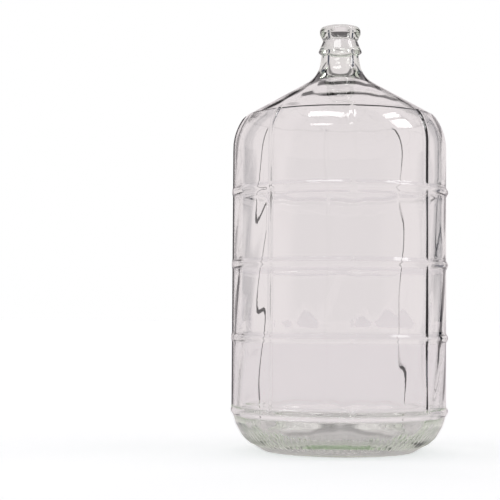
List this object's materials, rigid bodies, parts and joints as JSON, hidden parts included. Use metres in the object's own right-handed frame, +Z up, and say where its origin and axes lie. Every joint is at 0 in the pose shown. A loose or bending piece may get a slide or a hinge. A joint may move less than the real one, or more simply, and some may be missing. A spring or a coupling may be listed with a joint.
{
  "type": "glass demijohn",
  "caption": "Tall round clear-glass demijohn with a lipped neck, a conical shoulder and a body with raised hoops and upright ribs.",
  "frame": {"origin": "centre of the flat ring under the bottle, on the surface it stands on", "axes": "+Z up through the mouth; one upright rib lies on -Y, the side seen in front, and one on +X"},
  "size_m": [0.2863, 0.2864, 0.562],
  "materials": {
    "clear_glass": "clear colourless glass with a faint grey-green tint where it is thick, smooth and glossy, slightly wavy inside"
  },
  "bodies": {
    "root": {"glass_body": "clear_glass"}
  },
  "joints": []
}
